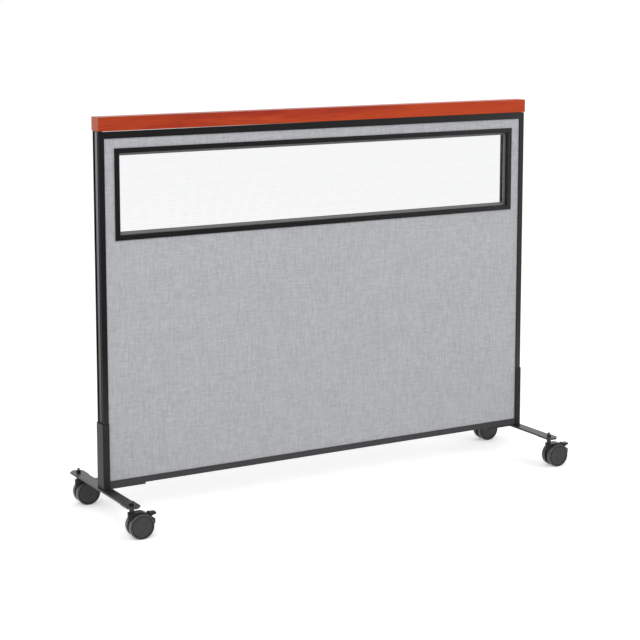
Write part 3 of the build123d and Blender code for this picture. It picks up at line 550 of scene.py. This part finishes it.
def threaded_stem(corner):
    """Stem of one caster: smooth shaft, collar under the foot, and a real thread above it."""
    node = f"{corner}_stem"
    low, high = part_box(node)
    middle_x, middle_y = (low.x + high.x) / 2, (low.y + high.y) / 2
    collar_radius = (high.x - low.x) / 2
    collar_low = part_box(f"{corner}_hood")[1].z + COLLAR_GAP
    foot_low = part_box(f"{corner.split('_')[0]}_foot")[0].z

    rings = [(low.z, SHAFT_RADIUS), (collar_low, SHAFT_RADIUS), (collar_low, collar_radius)]
    rings += [(foot_low, collar_radius), (foot_low, SHAFT_RADIUS - THREAD_DEPTH)]
    length = high.z - foot_low
    steps = round(length / THREAD_PITCH * RINGS_PER_TURN)
    thread_start = len(rings)
    rings += [(foot_low + length * i / steps, SHAFT_RADIUS) for i in range(1, steps + 1)]

    shell = bmesh.new()
    loops = []
    for index, (z, radius) in enumerate(rings):
        loop = []
        for k in range(STEM_SIDES):
            turn = k / STEM_SIDES
            reach = radius
            if index >= thread_start:
                phase = ((z - foot_low) / THREAD_PITCH - turn) % 1
                reach -= THREAD_DEPTH * abs(2 * phase - 1) + max(0, z - high.z + TIP_CHAMFER)
            angle = 2 * math.pi * turn
            x, y = middle_x + reach * math.cos(angle), middle_y + reach * math.sin(angle)
            loop.append(shell.verts.new((x, y, z)))
        loops.append(loop)
    for below, above in zip(loops, loops[1:]):
        for k in range(STEM_SIDES):
            shell.faces.new((below[k - 1], below[k], above[k], above[k - 1]))
    shell.faces.new(loops[0][::-1])
    shell.faces.new(loops[-1])
    mesh = bpy.data.meshes.new(f"{corner}_threaded_stem")
    shell.to_mesh(mesh)
    shell.free()
    mesh.shade_smooth()
    mesh.set_sharp_from_angle(angle=math.radians(SHARPEST_SMOOTH))
    mesh.materials.append(BLACK_ZINC)
    piece = bpy.data.objects.new(f"{corner}_threaded_stem", mesh)
    bpy.context.scene.collection.objects.link(piece)
    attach(piece, "panel")
    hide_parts(node)


# ======== Stage, light and camera ========

FLOOR_SIZE = 120
FLOOR_GLOW = 0.30            # its own light, only where it is seen, so that it looks white
FLOOR_BOUNCE = 0.68          # its grey for the light that it throws back on the wall
FLOOR_THROUGH_PANE = 0.78    # its grey where it is seen through the pane
SKY_FILL = 0.80              # the surroundings' level as a source of light
SKY_THROUGH_PANE = 0.93      # their level through the pane, as a share of what is seen past it
WALL_MIDDLE = (0, 0, 0.6)
SOFTBOX_SIZE = (2.4, 1.8)
SENSOR, LENS, SHIFT = 36, 97.833, -0.15    # mm, mm, share of the sensor
EYE = (-2.7531, -4.6630, 1.5955)
LOOKS_DOWN = 7.905           # degrees below level
HEADING = 30.467             # degrees from straight ahead (+Y) towards the right (+X)


def floor():
    """Wide pale floor that also fills the background.

    It is white where it is seen or mirrored, and a little dimmer through the pane.
    """
    bpy.ops.mesh.primitive_plane_add(size=FLOOR_SIZE)
    ground = bpy.context.object
    ground.name = "floor"
    f = Finish("floor_white", Roughness=0.9, Specular_IOR_Level=0.0, Emission_Color=(1, 1, 1, 1))
    rays = f.node("LightPath").outputs
    through = rays["Is Transmission Ray"]
    seen = f.math("MAXIMUM", rays["Is Camera Ray"], rays["Is Glossy Ray"])
    seen = f.math("MAXIMUM", seen, through)
    speckle = f.noise(3, detail=3.0)
    pale = f.ramp(speckle, (0.3, (0.985,) * 3), (0.7, (1.0,) * 3))
    direct = f.mix(seen, (*(FLOOR_BOUNCE,) * 3, 1), pale)
    f.colour(f.mix(through, direct, (*(FLOOR_THROUGH_PANE,) * 3, 1)))
    f.feed(f.shader.inputs["Emission Strength"], f.math("MULTIPLY", seen, FLOOR_GLOW))
    ground.data.materials.append(f.material)


def world():
    """Even surroundings: full white where seen or mirrored, a little dimmer through the pane."""
    sky = bpy.data.worlds.new("studio")
    bpy.context.scene.world = sky
    sky.use_nodes = True
    tree = sky.node_tree
    rays = tree.nodes.new("ShaderNodeLightPath")
    seen = rays.outputs["Is Camera Ray"]
    for name in ("Is Glossy Ray", "Is Transmission Ray"):
        either = tree.nodes.new("ShaderNodeMath")
        either.operation = "MAXIMUM"
        tree.links.new(seen, either.inputs[0])
        tree.links.new(rays.outputs[name], either.inputs[1])
        seen = either.outputs[0]
    level = tree.nodes.new("ShaderNodeMapRange")
    tree.links.new(seen, level.inputs["Value"])
    level.inputs["To Min"].default_value = SKY_FILL
    level.inputs["To Max"].default_value = 1.0
    dimmed = tree.nodes.new("ShaderNodeMapRange")
    tree.links.new(rays.outputs["Is Transmission Ray"], dimmed.inputs["Value"])
    dimmed.inputs["To Min"].default_value = 1.0
    dimmed.inputs["To Max"].default_value = SKY_THROUGH_PANE
    product = tree.nodes.new("ShaderNodeMath")
    product.operation = "MULTIPLY"
    tree.links.new(level.outputs[0], product.inputs[0])
    tree.links.new(dimmed.outputs[0], product.inputs[1])
    tree.links.new(product.outputs[0], tree.nodes["Background"].inputs["Strength"])
    tree.nodes["Background"].inputs["Color"].default_value = (1, 1, 1, 1)


def softbox(name, place, watts):
    """Soft lamp that points at the middle of the wall."""
    lamp = bpy.data.lights.new(name, "AREA")
    lamp.shape = "RECTANGLE"
    lamp.size, lamp.size_y = SOFTBOX_SIZE
    lamp.energy = watts
    lamp_object = bpy.data.objects.new(name, lamp)
    lamp_object.location = place
    aim = Vector(WALL_MIDDLE) - Vector(place)
    lamp_object.rotation_euler = aim.to_track_quat("-Z", "Y").to_euler()
    lamp_object.visible_transmission = False   # no glare of the lamps inside the pane
    bpy.context.scene.collection.objects.link(lamp_object)


def camera():
    """The photograph's view: from the front left, a little above the cap, looking slightly down."""
    data = bpy.data.cameras.new("camera")
    data.sensor_width = SENSOR
    data.lens = LENS
    data.shift_y = SHIFT
    data.clip_end = 200
    eye = bpy.data.objects.new("camera", data)
    eye.location = EYE
    eye.rotation_euler = (math.radians(90 - LOOKS_DOWN), 0, math.radians(-HEADING))
    bpy.context.scene.collection.objects.link(eye)
    bpy.context.scene.camera = eye


finish_cad_nodes()
for side_name, side in FACES.items():
    fabric_sheet(side_name, side)
for corner in CASTERS:
    threaded_stem(corner)
floor()
world()
softbox("key", (-2.6, -3.4, 3.6), watts=60)
softbox("fill", (3.2, -3.8, 2.4), watts=40)
camera()
bpy.context.scene.view_settings.view_transform = "Standard"
